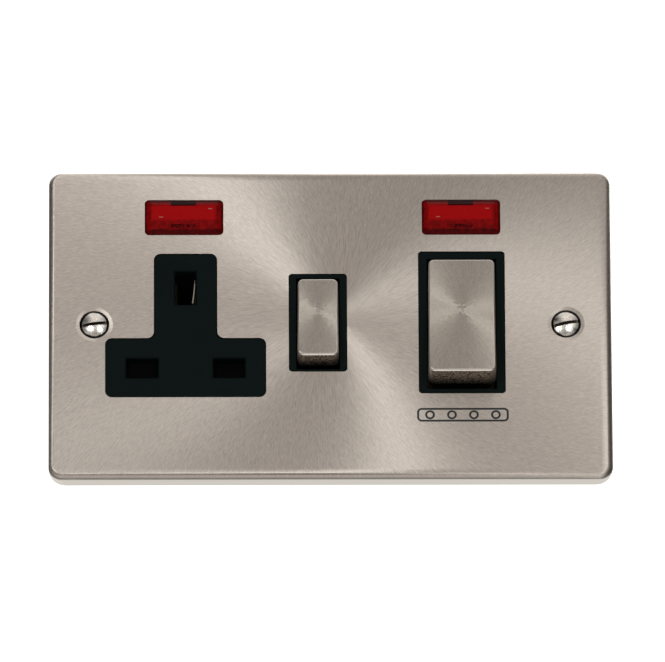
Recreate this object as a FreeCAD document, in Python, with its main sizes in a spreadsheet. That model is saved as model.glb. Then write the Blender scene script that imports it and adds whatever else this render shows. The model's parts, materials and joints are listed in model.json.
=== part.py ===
import FreeCAD, Part
import math
import os
import re
import Sketcher

# Cooker control unit: a two gang metal plate with a switched three pin socket, a cooker
# switch and two indicator lamps. Millimetres. X runs to the cooker switch, Z is up and
# Y runs into the wall box. The origin is the middle of the plate on the wall plane.

os.makedirs("parts", exist_ok=True)
doc = FreeCAD.newDocument("cooker_control_unit")
Vector = FreeCAD.Vector

# Two places nearer than this are the same place
SAME = 1e-4

# The driving sizes, each written once
SIZES = [
    ("plate_width", 144.0),
    ("plate_height", 85.0),
    ("plate_depth", 5.0),
    ("sheet", 1.2),
    ("plate_corner", 2.9),
    ("plate_rear_corner", 4.4),
    ("plate_edge", 1.4),
    ("dimple_radius", 3.75),
    ("dimple_roll", 0.18),
    ("dimple_roll_wide", 1.0),
    ("dimple_hole", 2.15),
    ("plate_stud_radius", 1.2),
    ("flange_thick", 2.0),
    ("frame_gap", 0.22),
    ("insert_gap", 0.1),
    ("insert_rim", 1.1),
    ("insert_rim_thick", 0.8),
    ("face_sink", 0.15),
    ("face_step", -3.8),
    ("face_round", 1.8),
    ("pin_offset", 11.115),
    ("earth_z", 10.26),
    ("earth_wide", 5.3),
    ("earth_high", 9.3),
    ("pins_z", -11.95),
    ("slot_wide", 8.0),
    ("slot_high", 5.5),
    ("lead_in", 0.35),
    ("small_cap_rise", 5.4),
    ("small_pivot_z", 0.1),
    ("large_cap_rise", 6.3),
    ("large_pivot_z", 0.05),
    ("frame_round", 0.95),
    ("rocker_tilt", 9.5),
    ("bar_tilt", 8.5),
    ("cap_skin", 0.7),
    ("cap_draft", 2.0),
    ("cap_round", 1.7),
    ("cap_edge", 0.55),
    ("cap_skirt", -0.2),
    ("pivot_radius", 1.5),
    ("running", 0.05),
    ("well_gap", 0.4),
    ("well_wall", 1.5),
    ("plunger_reach", 12.0),
    ("plunger_radius", 1.5),
    ("plunger_back", 5.8),
    ("guide_radius", 2.6),
    ("bar_half", 8.6),
    ("bar_thick", 1.4),
    ("nose_radius", 0.6),
    ("contact_z", 7.0),
    ("strip", 0.8),
    ("lens_height", 9.8),
    ("lens_round", 1.1),
    ("lens_bevel", 1.6),
    ("lens_rise", 0.9),
    ("block_depth", 9.0),
    ("bore_radius", 2.75),
    ("clamp_radius", 2.0),
    ("tower_wall", 1.1),
    ("rear_bevel", 1.5),
    ("leaf_gap", 4.3),
    ("shutter_half", 15.4),
    ("shank_radius", 1.75),
    ("head_radius", 3.45),
    ("slot_turn", 8.0),
]

# Sizes that follow from the ones above. The layout keeps its share of the plate, so
# that a wider or taller plate carries everything on it with it.
DERIVED = [
    ("across", "plate_width / 144"),
    ("upward", "plate_height / 85"),
    ("fixing_pitch", "120.6 * across"),
    ("plate_stud_x", "59.0 * across"),
    ("flange_half_x", "66.0 * across"),
    ("socket_x", "-36.98 * across"),
    ("crossbar_width", "41.15 * across"),
    ("upright_width", "16.22 * across"),
    ("small_x", "-3.14 * across"),
    ("small_frame_width", "14.95 * across"),
    ("small_cap_width", "10.35 * across"),
    ("large_x", "33.65 * across"),
    ("large_frame_width", "22.21 * across"),
    ("large_cap_width", "17.0 * across"),
    ("lens_left_x", "-37.33 * across"),
    ("lens_right_x", "33.66 * across"),
    ("lens_width", "20.15 * across"),
    ("pole_offset", "5.5 * across"),
    ("base_half_x", "54.5 * across"),
    ("block_half", "4.8 * across"),
    ("earth_block_x", "8.0 * across"),
    ("screw_x", "49.5 * across"),
    ("plate_stud_z", "30.0 * upward"),
    ("flange_half_z", "38.4 * upward"),
    ("face_top", "19.65 * upward"),
    ("face_bottom", "-20.22 * upward"),
    ("small_frame_top", "13.99 * upward"),
    ("small_frame_bottom", "-13.19 * upward"),
    ("small_cap_length", "23.0 * upward"),
    ("large_frame_top", "20.17 * upward"),
    ("large_frame_bottom", "-19.28 * upward"),
    ("large_cap_length", "33.7 * upward"),
    ("lens_z", "29.72 * upward"),
    ("base_half_z", "35.0 * upward"),
    ("block_low", "22.0 * upward"),
    ("block_high", "31.0 * upward"),
    ("screw_z", "28.0 * upward"),
    ("face", "-plate_depth"),
    ("sheet_back", "sheet - plate_depth"),
    ("flange_back", "sheet_back + flange_thick"),
    ("well_back", "flange_back + 4.8"),
    ("pivot_y", "sheet_back + 1.4"),
    ("bar_y", "pivot_y + plunger_reach + 0.15 + bar_thick"),
    ("strip_front", "bar_y + 2.75"),
    ("strip_back", "strip_front + strip"),
    ("base_back", "strip_back + 4.5"),
    ("strap_back", "base_back + strip"),
    ("block_back", "strip_back + block_depth"),
    ("tower_back", "block_back + 0.3"),
    ("bore_y", "strip_back + 3.9"),
    ("fixing_x", "fixing_pitch / 2"),
    ("line_x", "large_x - pole_offset"),
    ("neutral_x", "large_x + pole_offset"),
    ("left_pin_x", "socket_x - pin_offset"),
    ("right_pin_x", "socket_x + pin_offset"),
    ("inner_screw_x", "right_pin_x + 5.6"),
    ("large_frame_half", "large_frame_width / 2"),
    ("small_frame_half", "small_frame_width / 2"),
    ("lamp_back", "flange_back + 7"),
    ("lamp_half", "lens_width * 0.3"),
    ("shutter_front", "flange_back + 0.2"),
    ("shutter_back", "shutter_front + 1.4"),
    ("leaf_front", "shutter_back + 1.4"),
    ("leaf_half", "leaf_gap / 2 + strip"),
]

sheet = doc.addObject("Spreadsheet::Sheet", "sizes")
NAMES = [name for name, value in SIZES + DERIVED]
row = 0
for name, value in SIZES + DERIVED:
    row += 1
    content = str(value) if isinstance(value, float) else "=" + value
    sheet.set("A%d" % row, name)
    sheet.set("B%d" % row, content)
    sheet.setAlias("B%d" % row, name)
doc.recompute()
WORD = re.compile("|".join(r"\b%s\b" % name for name in sorted(NAMES, key=len, reverse=True)))


def bound(formula):
    """The formula with each size's name made a reference to the sheet."""
    return WORD.sub(lambda found: "sizes." + found.group(0), str(formula))


def value(formula):
    """The formula's value now."""
    result = sheet.evalExpression(bound(formula))
    return float(getattr(result, "Value", result))


def drive(thing, **formulas):
    """Bind each named property of a document object to its formula."""
    for prop, formula in formulas.items():
        thing.setExpression(prop.replace("__", "."), bound(formula))
    return thing


def place(thing, x="0", y="0", z="0", axis=(1, 0, 0), turn="0"):
    """Give a document object its position and its turn about one axis."""
    turned = FreeCAD.Rotation(Vector(*axis), value(turn) or 1e-9)
    thing.Placement = FreeCAD.Placement(Vector(value(x), value(y), value(z)), turned)
    if turn != "0":
        thing.setExpression("Placement.Rotation.Angle", bound(turn))
    thing.setExpression("Placement.Base.x", bound(x))
    thing.setExpression("Placement.Base.y", bound(y))
    thing.setExpression("Placement.Base.z", bound(z))
    return thing


# Plain solids

def box(x0, x1, y0, y1, z0, z1):
    """A box between its six stated sides."""
    made = doc.addObject("Part::Box", "box")
    drive(made, Length="(%s) - (%s)" % (x1, x0))
    drive(made, Width="(%s) - (%s)" % (y1, y0))
    drive(made, Height="(%s) - (%s)" % (z1, z0))
    return place(made, x0, y0, z0)


TURNS = {"x": ((0, 1, 0), "90"), "y": ((1, 0, 0), "-90"), "z": ((0, 0, 1), "0")}


def rod(along, x, y, z, radius, length, far_radius=None):
    """A cylinder, or a cone, that starts at a point and runs along +X, +Y or +Z."""
    if far_radius is None:
        made = drive(doc.addObject("Part::Cylinder", "rod"), Radius=radius, Height=length)
    else:
        made = doc.addObject("Part::Cone", "cone")
        drive(made, Radius1=radius, Radius2=far_radius, Height=length)
    axis, turn = TURNS[along]
    return place(made, x, y, z, axis, turn)


def ball(x, y, z, radius):
    return place(drive(doc.addObject("Part::Sphere", "ball"), Radius=radius), x, y, z)


def joined(*solids):
    """The solids as one."""
    made = doc.addObject("Part::MultiFuse", "joined")
    made.Shapes = list(solids)
    made.Refine = True
    return made


def grouped(*solids):
    """Separate solids under one name."""
    made = doc.addObject("Part::Compound", "grouped")
    made.Links = list(solids)
    return made


def cut(solid, *tools):
    made = doc.addObject("Part::Cut", "cut")
    made.Base = solid
    made.Tool = tools[0] if len(tools) == 1 else grouped_tools(tools)
    made.Refine = True
    return made


def grouped_tools(tools):
    made = doc.addObject("Part::MultiFuse", "tools")
    made.Shapes = list(tools)
    return made


# Sketched solids

PLANES = {"xz": "XZ_Plane", "yz": "YZ_Plane", "xy": "XY_Plane"}


def sketch_on(body, plane, offset="0", x="0", y="0"):
    """A sketch on one of the body's planes, moved out along the plane's normal."""
    found = [item for item in body.Origin.OriginFeatures if item.Role == PLANES[plane]]
    made = body.newObject("Sketcher::SketchObject", "outline")
    made.AttachmentSupport = [(found[0], "")]
    made.MapMode = "FlatFace"
    made.setExpression("AttachmentOffset.Base.x", bound(x))
    made.setExpression("AttachmentOffset.Base.y", bound(y))
    made.setExpression("AttachmentOffset.Base.z", bound(offset))
    return made


def hold(sketch, kind, geo, end, formula):
    """Fix one point's distance from the sketch's origin to a formula."""
    now = value(formula)
    if abs(now) < SAME:
        axis = -2 if kind == "DistanceX" else -1
        sketch.addConstraint(Sketcher.Constraint("PointOnObject", geo, end, axis))
        return
    number = sketch.addConstraint(Sketcher.Constraint(kind, -1, 1, geo, end, now))
    sketch.setExpression("Constraints[%d]" % number, bound(formula))


def draw_polygon(sketch, corners):
    """A closed outline through the corners, each held by its two formulas."""
    points = [Vector(value(across), value(up), 0) for across, up in corners]
    count = len(points)
    for i in range(count):
        sketch.addGeometry(Part.LineSegment(points[i], points[(i + 1) % count]), False)
    for i in range(count):
        sketch.addConstraint(Sketcher.Constraint("Coincident", i, 2, (i + 1) % count, 1))
    for i, (across, up) in enumerate(corners):
        hold(sketch, "DistanceX", i, 1, across)
        hold(sketch, "DistanceY", i, 1, up)


def draw_rounded(sketch, left, right, low, high, radius):
    """A rectangle with rounded corners, held by its four sides and the radius."""
    a, b, c, d, r = [value(formula) for formula in (left, right, low, high, radius)]
    ends = [(a + r, c), (b - r, c), (b, c + r), (b, d - r), (b - r, d), (a + r, d), (a, d - r), (a, c + r)]
    centres = [(b - r, c + r), (b - r, d - r), (a + r, d - r), (a + r, c + r)]
    for i in range(4):
        start, stop = Vector(*ends[2 * i], 0), Vector(*ends[2 * i + 1], 0)
        sketch.addGeometry(Part.LineSegment(start, stop), False)
        circle = Part.Circle(Vector(*centres[i], 0), Vector(0, 0, 1), r)
        begin = (i - 1) * math.pi / 2
        sketch.addGeometry(Part.ArcOfCircle(circle, begin, begin + math.pi / 2), False)
    for i in range(4):
        line, arc, after = 2 * i, 2 * i + 1, (2 * i + 2) % 8
        sketch.addConstraint(Sketcher.Constraint("Tangent", line, 2, arc, 1))
        sketch.addConstraint(Sketcher.Constraint("Tangent", arc, 2, after, 1))
        sketch.addConstraint(Sketcher.Constraint("Vertical" if i % 2 else "Horizontal", line))
        if i:
            sketch.addConstraint(Sketcher.Constraint("Equal", 1, arc))
    number = sketch.addConstraint(Sketcher.Constraint("Radius", 1, r))
    sketch.setExpression("Constraints[%d]" % number, bound(radius))
    hold(sketch, "DistanceX", 2, 1, right)
    hold(sketch, "DistanceX", 6, 1, left)
    hold(sketch, "DistanceY", 0, 1, low)
    hold(sketch, "DistanceY", 4, 1, high)


def new_body(name):
    return doc.addObject("PartDesign::Body", name)


def pad(body, sketch, length, reversed_way=False, taper=None):
    made = body.newObject("PartDesign::Pad", "pad")
    made.Profile = sketch
    made.Reversed = reversed_way
    drive(made, Length=length)
    if taper:
        drive(made, TaperAngle=taper)
    return made


def pocket(body, sketch, length):
    made = body.newObject("PartDesign::Pocket", "pocket")
    made.Profile = sketch
    drive(made, Length=length)
    return made


def edges_where(feature, test):
    """The names of the feature's edges whose two ends both pass the test."""
    doc.recompute()
    found = []
    for i, edge in enumerate(feature.Shape.Edges):
        if all(test(vertex.Point) for vertex in edge.Vertexes):
            found.append("Edge%d" % (i + 1))
    return found


def soften(body, feature, edges, radius):
    made = body.newObject("PartDesign::Fillet", "soft_edges")
    made.Base = (feature, edges)
    drive(made, Radius=radius)
    return made


def prism(corners, front, back, radius):
    """A solid with a polygon outline seen from the front, between two depths."""
    body = new_body("prism")
    sketch = sketch_on(body, "xz", "-(%s)" % back)
    draw_polygon(sketch, corners)
    made = pad(body, sketch, "(%s) - (%s)" % (back, front))
    round_corners(body, made, radius)
    return body


def round_corners(body, feature, radius):
    """Round every edge that runs along Y."""
    doc.recompute()
    found = []
    for i, edge in enumerate(feature.Shape.Edges):
        first, last = edge.Vertexes[0].Point, edge.Vertexes[-1].Point
        if abs(first.x - last.x) + abs(first.z - last.z) < SAME and first != last:
            found.append("Edge%d" % (i + 1))
    return soften(body, feature, found, radius)


def rounded_block(left, right, low, high, front, back, radius):
    """A block with rounded corners seen from the front, between two depths."""
    body = new_body("rounded_block")
    sketch = sketch_on(body, "xz", "-(%s)" % back)
    draw_rounded(sketch, left, right, low, high, radius)
    pad(body, sketch, "(%s) - (%s)" % (back, front))
    return body


def side_profile(corners, left, right):
    """A solid with an outline in Y and Z, between two X positions."""
    body = new_body("side_profile")
    sketch = sketch_on(body, "yz", left)
    draw_polygon(sketch, corners)
    pad(body, sketch, "(%s) - (%s)" % (right, left))
    return body


def top_profile(corners, low, high):
    """A solid with an outline in X and Y, between two heights."""
    body = new_body("top_profile")
    sketch = sketch_on(body, "xy", low)
    draw_polygon(sketch, corners)
    pad(body, sketch, "(%s) - (%s)" % (high, low))
    return body


def tapered_mouth(x, z, half_x, half_z, front, deep):
    """A lead-in that narrows to the stated half sizes at its deep end."""
    made = doc.addObject("Part::Wedge", "mouth")
    drive(made, Ymin=front, Ymax="(%s) + (%s)" % (front, deep))
    drive(made, Xmin="(%s) - (%s) - (%s)" % (x, half_x, deep), Xmax="(%s) + (%s) + (%s)" % (x, half_x, deep))
    drive(made, Zmin="(%s) - (%s) - (%s)" % (z, half_z, deep), Zmax="(%s) + (%s) + (%s)" % (z, half_z, deep))
    drive(made, X2min="(%s) - (%s)" % (x, half_x), X2max="(%s) + (%s)" % (x, half_x))
    drive(made, Z2min="(%s) - (%s)" % (z, half_z), Z2max="(%s) + (%s)" % (z, half_z))
    return made


NODES = []


def node(thing, name):
    """Name a finished sub-part; the name is also its file's."""
    thing.Label = name
    NODES.append(thing)
    return thing


def t_corners(gap):
    """The outline of the socket's T face, drawn in by a gap."""
    left = "socket_x - crossbar_width / 2 + %s" % gap
    right = "socket_x + crossbar_width / 2 - %s" % gap
    stem_left = "socket_x - upright_width / 2 + %s" % gap
    stem_right = "socket_x + upright_width / 2 - %s" % gap
    low = "face_bottom + %s" % gap
    step = "face_step - %s" % gap
    high = "face_top - %s" % gap
    return [
        (left, low), (right, low), (right, step), (stem_right, step),
        (stem_right, high), (stem_left, high), (stem_left, step), (left, step),
    ]


# The metal plate and what fastens it

def draw_circle(sketch, radius):
    """A circle about the sketch's own origin."""
    sketch.addGeometry(Part.Circle(Vector(0, 0, 0), Vector(0, 0, 1), value(radius)), False)
    sketch.addConstraint(Sketcher.Constraint("Coincident", 0, 3, -1, 1))
    number = sketch.addConstraint(Sketcher.Constraint("Radius", 0, value(radius)))
    sketch.setExpression("Constraints[%d]" % number, bound(radius))


def add_opening(body, x, half, low, high, radius):
    """A rounded aperture through the plate."""
    opening = sketch_on(body, "xz", "-face + 0.5")
    draw_rounded(opening, "%s - %s" % (x, half), "%s + %s" % (x, half), low, high, radius)
    pocket(body, opening, "sheet + 2")


def add_dimple(body, x):
    """A pressed countersink with its hole, for one fixing screw."""
    rim, hole = "dimple_radius", "dimple_hole"
    floor = "face + dimple_radius - dimple_hole"
    raised = sketch_on(body, "xy", "0", x)
    draw_polygon(raised, [
        (hole + " / 2", "face + sheet / 2"),
        (hole + " / 2", floor + " + sheet / 2"),
        (hole + " + sheet", floor + " + sheet / 2"),
        (rim + " + sheet", "sheet_back - 0.1"),
        (rim + " + sheet", "face + sheet / 2"),
    ])
    boss = body.newObject("PartDesign::Revolution", "dimple")
    boss.Profile = raised
    boss.ReferenceAxis = (raised, ["V_Axis"])
    boss.Angle = 360
    sunk = sketch_on(body, "xy", "0", x)
    draw_polygon(sunk, [
        ("0", "face - 0.5"),
        ("0", floor + " + sheet"),
        (hole, floor + " + sheet"),
        (hole, floor),
        (rim, "face + dimple_roll"),
        (rim + " + dimple_roll_wide", "face"),
        (rim + " + dimple_roll_wide", "face - 0.5"),
    ])
    groove = body.newObject("PartDesign::Groove", "countersink")
    groove.Profile = sunk
    groove.ReferenceAxis = (sunk, ["V_Axis"])
    groove.Angle = 360


def make_faceplate():
    """A pressed tray with soft front edges, dimples, apertures and welded studs."""
    body = new_body("plate_tray")
    half_x, half_z = "plate_width / 2", "plate_height / 2"
    outlines = []
    for depth, corner in (("0", "plate_rear_corner"), ("plate_depth", "plate_corner")):
        outlines.append(sketch_on(body, "xz", depth))
        draw_rounded(outlines[-1], "-" + half_x, half_x, "-" + half_z, half_z, corner)
    slab = body.newObject("PartDesign::AdditiveLoft", "slab")
    slab.Profile = outlines[0]
    slab.Sections = [outlines[1]]
    slab.Ruled = True
    front = value("face")
    soften(body, slab, edges_where(slab, lambda p: abs(p.y - front) < SAME), "plate_edge")
    hollow = sketch_on(body, "xz", "-sheet_back")
    inner_x, inner_z = "(%s - sheet)" % half_x, "(%s - sheet)" % half_z
    draw_rounded(hollow, "-" + inner_x, inner_x, "-" + inner_z, inner_z, "plate_rear_corner - sheet")
    pocket(body, hollow, "plate_depth")
    for x in ("-fixing_x", "fixing_x"):
        add_dimple(body, x)
    for x in ("-plate_stud_x", "plate_stud_x"):
        for z in ("-plate_stud_z", "plate_stud_z"):
            circle = sketch_on(body, "xz", "0.1 - sheet_back", x, z)
            draw_circle(circle, "plate_stud_radius")
            pad(body, circle, "4.6", reversed_way=True)
    add_opening(body, "small_x", "small_frame_half", "small_frame_bottom", "small_frame_top", "frame_round")
    add_opening(body, "large_x", "large_frame_half", "large_frame_bottom", "large_frame_top", "frame_round")
    for x in ("lens_left_x", "lens_right_x"):
        low, high = "lens_z - lens_height / 2", "lens_z + lens_height / 2"
        add_opening(body, x, "lens_width / 2", low, high, "lens_round")
    return cut(body, prism(t_corners("0"), "face - 0.5", "sheet_back + 0.5", "face_round"))


def make_plate_nuts():
    """Hexagon nuts on the plate's studs; one also clamps the plate's earth tail."""
    nuts = []
    for x in ("-plate_stud_x", "plate_stud_x"):
        for z in ("-plate_stud_z", "plate_stud_z"):
            over_tail = x.startswith("-") and not z.startswith("-")
            front = "flange_back + 0.6" if over_tail else "flange_back"
            hexagon = doc.addObject("Part::Prism", "hexagon")
            hexagon.Polygon = 6
            drive(hexagon, Circumradius="plate_stud_radius * 2.2", Height="1.6")
            place(hexagon, x, front, z, (1, 0, 0), "-90")
            bore = rod("y", x, front + " - 0.1", z, "plate_stud_radius + running", "2")
            nuts.append(cut(hexagon, bore))
    return grouped(*nuts)


def make_fixing_screws():
    """Raised countersunk slotted screws, with a short neck under the head."""
    screws = []
    rim = "face + dimple_radius - head_radius"
    dome_radius = "(head_radius ^ 2 + 0.81) / 1.8"
    for x, turn in (("-fixing_x", "slot_turn"), ("fixing_x", "slot_turn * 1.5")):
        cap = doc.addObject("Part::Common", "dome")
        cap.Base = ball(x, "%s - 0.9 + %s" % (rim, dome_radius), "0", dome_radius)
        cap.Tool = rod("y", x, rim + " - 1", "0", "head_radius", "1")
        cone = rod("y", x, rim, "0", "head_radius - 0.05", "head_radius - 1.55", "1.5")
        neck = rod("y", x, rim + " + 1", "0", "1.5", "flange_back - (%s)" % rim)
        shank = rod("y", x, "flange_back + 0.7", "0", "shank_radius", "20")
        slot = grouped(box("-head_radius", "head_radius", "0", "1.5", "-0.45", "0.45"))
        place(slot, x, rim + " - 1.2", "0", (0, 1, 0), "-(%s)" % turn)
        screws.append(cut(joined(cap, cone, neck, shank), slot))
    return grouped(*screws)


# The black moulding behind the plate

WELLS = [
    ("small_x", "small_frame_half", "small_frame_bottom", "small_frame_top", "small"),
    ("large_x", "large_frame_half", "large_frame_bottom", "large_frame_top", "large"),
]


def well_half_x(size):
    return "%s_cap_width / 2 + well_gap" % size


def well_half_z(size):
    """Half the well's height: the tilted cap's reach above the pivot, and a gap."""
    reach = "%s_cap_length / 2 * cos(rocker_tilt) + %s_cap_rise * sin(rocker_tilt)" % (size, size)
    return "(%s + well_gap)" % reach


def well_box(size, x, grow, front, back):
    """The room around one rocker, grown all round by an amount."""
    half_x = "(%s + %s)" % (well_half_x(size), grow)
    half_z = "(%s + %s)" % (well_half_z(size), grow)
    z = size + "_pivot_z"
    return box(x + " - " + half_x, x + " + " + half_x, front, back, z + " - " + half_z, z + " + " + half_z)


# Each lamp wire: its lens, where it runs back, and its side of the lamp
LEADS = [
    ("lens_left_x", "lens_left_x - lens_width * 0.48", "-"),
    ("lens_left_x", "lens_left_x + lens_width * 0.48", "+"),
    ("lens_right_x", "lens_right_x - lens_width * 0.3375", "-"),
    ("lens_right_x", "lens_right_x + lens_width * 0.3375", "+"),
]


def lamp_box(x, grow, front, back, low, high):
    """A room behind one lens, wider than the lens by an amount on each side."""
    half = "(lens_width / 2 + %s)" % grow
    return box(x + " - " + half, x + " + " + half, front, back, low, high)


def make_front_moulding():
    """The flange with both switch wells, both lamp rooms and the way for the socket's face."""
    adds = [
        rounded_block("-flange_half_x", "flange_half_x", "-flange_half_z", "flange_half_z",
                      "sheet_back", "flange_back", "2.5"),
    ]
    inner_round = "face_round - frame_gap - insert_gap"
    cuts = [
        prism(t_corners("(frame_gap - insert_gap)"), "face", "flange_back + 1", inner_round),
        prism(t_corners("(frame_gap - insert_gap - insert_rim)"), "flange_back - insert_rim_thick",
              "flange_back + 1", inner_round),
    ]
    for x, half, low, high, size in WELLS:
        left, right = "%s - %s + frame_gap" % (x, half), "%s + %s - frame_gap" % (x, half)
        frame = (left, right, low + " + frame_gap", high + " - frame_gap")
        adds.append(rounded_block(*frame, "face + 0.1", "sheet_back + 0.5", "frame_round - frame_gap"))
        adds.append(well_box(size, x, "well_wall", "sheet_back + 0.5", "well_back"))
        cuts.append(well_box(size, x, "0", "face - 1", "well_back + 1"))
        pin_half = "(%s + well_wall - 0.1)" % well_half_x(size)
        pin_hole = rod("x", x + " - " + pin_half, "pivot_y", size + "_pivot_z", "pivot_radius + running",
                       "2 * " + pin_half)
        cuts.append(pin_hole)
    for x in ("lens_left_x", "lens_right_x"):
        adds.append(lamp_box(x, "1.4", "sheet_back + 0.5", "lamp_back", "lens_z - 5.75", "lens_z + 4.5"))
        cuts.append(lamp_box(x, "1.2", "face", "sheet_back + 0.8", "lens_z - 6", "lens_z + 6"))
        cuts.append(lamp_box(x, "0.2", "face", "lamp_back - 1.2", "lens_z - 4.55", "lens_z + 3.3"))
    for middle, x, side in LEADS:
        cuts.append(rod("y", x, "lamp_back - 2", "lens_z", "0.5", "3"))
    for side in ("-", ""):
        x = side + "fixing_x"
        cuts.append(rod("y", x, "face", "0", "dimple_radius + sheet + 0.3", "6"))
        outer = side + "(fixing_x + 8)"
        sides = (outer, x) if side else (x, outer)
        reach = "dimple_radius + sheet + 0.3"
        cuts.append(box(*sides, "face", "flange_back + 1", "-(%s)" % reach, reach))
    for x in ("-plate_stud_x", "plate_stud_x"):
        for z in ("-plate_stud_z", "plate_stud_z"):
            cuts.append(rod("y", x, "face", z, "plate_stud_radius + 0.2", "6"))
    for x in ("inner_screw_x", "screw_x"):
        for z in ("-screw_z", "screw_z"):
            adds.append(rod("y", x, "flange_back - 0.5", z, "3", "5.3"))
            cuts.append(rod("y", x, "sheet_back + 0.6", z, "1.5 + running", "8"))
    return cut(joined(*adds), *cuts)


def make_socket_face():
    """The T face with its three apertures, held by a rim behind the front moulding."""
    adds = [
        prism(t_corners("frame_gap"), "face + face_sink", "flange_back", "face_round - frame_gap"),
        prism(t_corners("(frame_gap - insert_rim)"), "flange_back - insert_rim_thick", "flange_back",
              "face_round - frame_gap"),
    ]
    ways = [
        ("socket_x", "earth_z", "earth_wide / 2", "earth_high / 2"),
        ("left_pin_x", "pins_z", "slot_wide / 2", "slot_high / 2"),
        ("right_pin_x", "pins_z", "slot_wide / 2", "slot_high / 2"),
    ]
    cuts = []
    for way in ways:
        cuts.append(rounded_mouth(*way))
        cuts.append(tapered_mouth(*way, "face + face_sink", "lead_in"))
    return cut(joined(*adds), *cuts)


def rounded_mouth(x, z, half_x, half_z):
    """A straight pin aperture right through the socket's face."""
    sides = ("%s - %s" % (x, half_x), "%s + %s" % (x, half_x), "%s - %s" % (z, half_z), "%s + %s" % (z, half_z))
    return rounded_block(*sides, "face", "flange_back + 1", "0.4")


# The rear moulding

BLOCKS = [
    ("line_x", "supply", "line"),
    ("line_x", "load", "line"),
    ("neutral_x", "supply", "neutral"),
    ("neutral_x", "load", "neutral"),
    ("earth_block_x", "supply", "earth"),
    ("earth_block_x", "load", "earth"),
]


def row_sides(row, near, far):
    """Two heights on the load row above, or mirrored on the supply row below."""
    if row == "load":
        return near, far
    return "-(%s)" % far, "-(%s)" % near


def bevelled_rear(left, right, low, high, radius):
    """The last of the housing's depth, leaning in all round."""
    body = new_body("bevelled_rear")
    sketch = sketch_on(body, "xz", "rear_bevel - base_back")
    draw_rounded(sketch, left, right, low, high, radius)
    pad(body, sketch, "rear_bevel", reversed_way=True, taper="-45")
    return body


def make_base_moulding():
    """The rear housing: chambers open to the front, terminal pockets open to the rear."""
    front = "flange_back"
    sides = ("-base_half_x", "base_half_x", "-base_half_z", "base_half_z")
    adds = [rounded_block(*sides, front, "base_back - rear_bevel", "3"), bevelled_rear(*sides, "3")]
    tower_left, tower_right = "earth_block_x - block_half + 0.2", "neutral_x + block_half + 1.5"
    for row in ("supply", "load"):
        adds.append(box(tower_left, tower_right, "base_back - 1", "tower_back",
                        *row_sides(row, "block_low - 1.3", "block_high + tower_wall")))
    cuts = [
        box("socket_x - shutter_half - 0.4", "socket_x + shutter_half + 0.4", front + " - 1",
            "shutter_back + 0.4", "pins_z - 9.95", "pins_z + 7.4"),
        box("socket_x - 3", "socket_x + 3", front + " - 1", "leaf_front + 9.2", "pins_z - 5.4", "earth_z + 5"),
        box("socket_x - 4.3", "socket_x + 4.3", front + " - 1", "base_back + 1", "earth_z - 5", "earth_z + 5"),
    ]
    for x in ("left_pin_x", "right_pin_x"):
        cuts.append(box(x + " - 4.2", x + " + 4.2", front + " - 1", "strip_front", "pins_z - 4.6", "pins_z + 4.6"))
    for x, half, low, high, size in WELLS:
        cuts.append(well_box(size, x, "well_wall + 0.25", front + " - 1", "well_back + 0.2"))
    small_half = "(%s + 0.2)" % well_half_x("small")
    chambers = [
        ("small_x - " + small_half, "small_x + " + small_half, "small_pivot_z"),
        ("large_x - %s" % well_half_x("large"), "large_x - 0.8", "large_pivot_z"),
        ("large_x + 0.8", "large_x + %s" % well_half_x("large"), "large_pivot_z"),
    ]
    for left, right, z in chambers:
        cuts.append(box(left, right, front, "strip_front", z + " - bar_half - 2.2", z + " + bar_half + 2.2"))
    for left, right, low, high in STRIP_SIDES:
        cuts.append(box(left + " - 0.2", right + " + 0.2", front + " - 1", "strip_back", low + " - 0.2", high + " + 0.2"))
    for x in ("lens_left_x", "lens_right_x"):
        cuts.append(lamp_box(x, "1.7", front + " - 1", "lamp_back + 0.3", "lens_z - 6.05", "lens_z + 9"))
    for middle, x, side in LEADS:
        cuts.append(rod("y", x, "lamp_back", "lens_z", "1.4", "strip_front - lamp_back"))
    for x in ("inner_screw_x", "screw_x"):
        for z in ("-screw_z", "screw_z"):
            cuts.append(rod("y", x, front + " - 1", z, "3.3", "6.1"))
            cuts.append(rod("y", x, front, z, "1.7", "base_back - (%s) + 1" % front))
            cuts.append(rod("y", x, "base_back - 2.4", z, "3.2", "4"))
    for x, row, kind in BLOCKS:
        left = x + " - block_half - " + ("1.0" if kind == "earth" else "0.15")
        cuts.append(box(left, x + " + block_half + 0.15", "strip_back", "tower_back + 1",
                        *row_sides(row, "block_low - 0.2", "block_high + 0.2")))
        cuts.append(box(x + " - bore_radius - 0.9", x + " + bore_radius + 0.9", "bore_y - bore_radius - 0.3",
                        "tower_back + 1", *row_sides(row, "block_high", "base_half_z + 1")))
    for left, right, low, high in CORES:
        cuts.append(box(left, right, "base_back - 2.2", "tower_back + 1", low, high))
    return cut(joined(*adds), *cuts)


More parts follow.
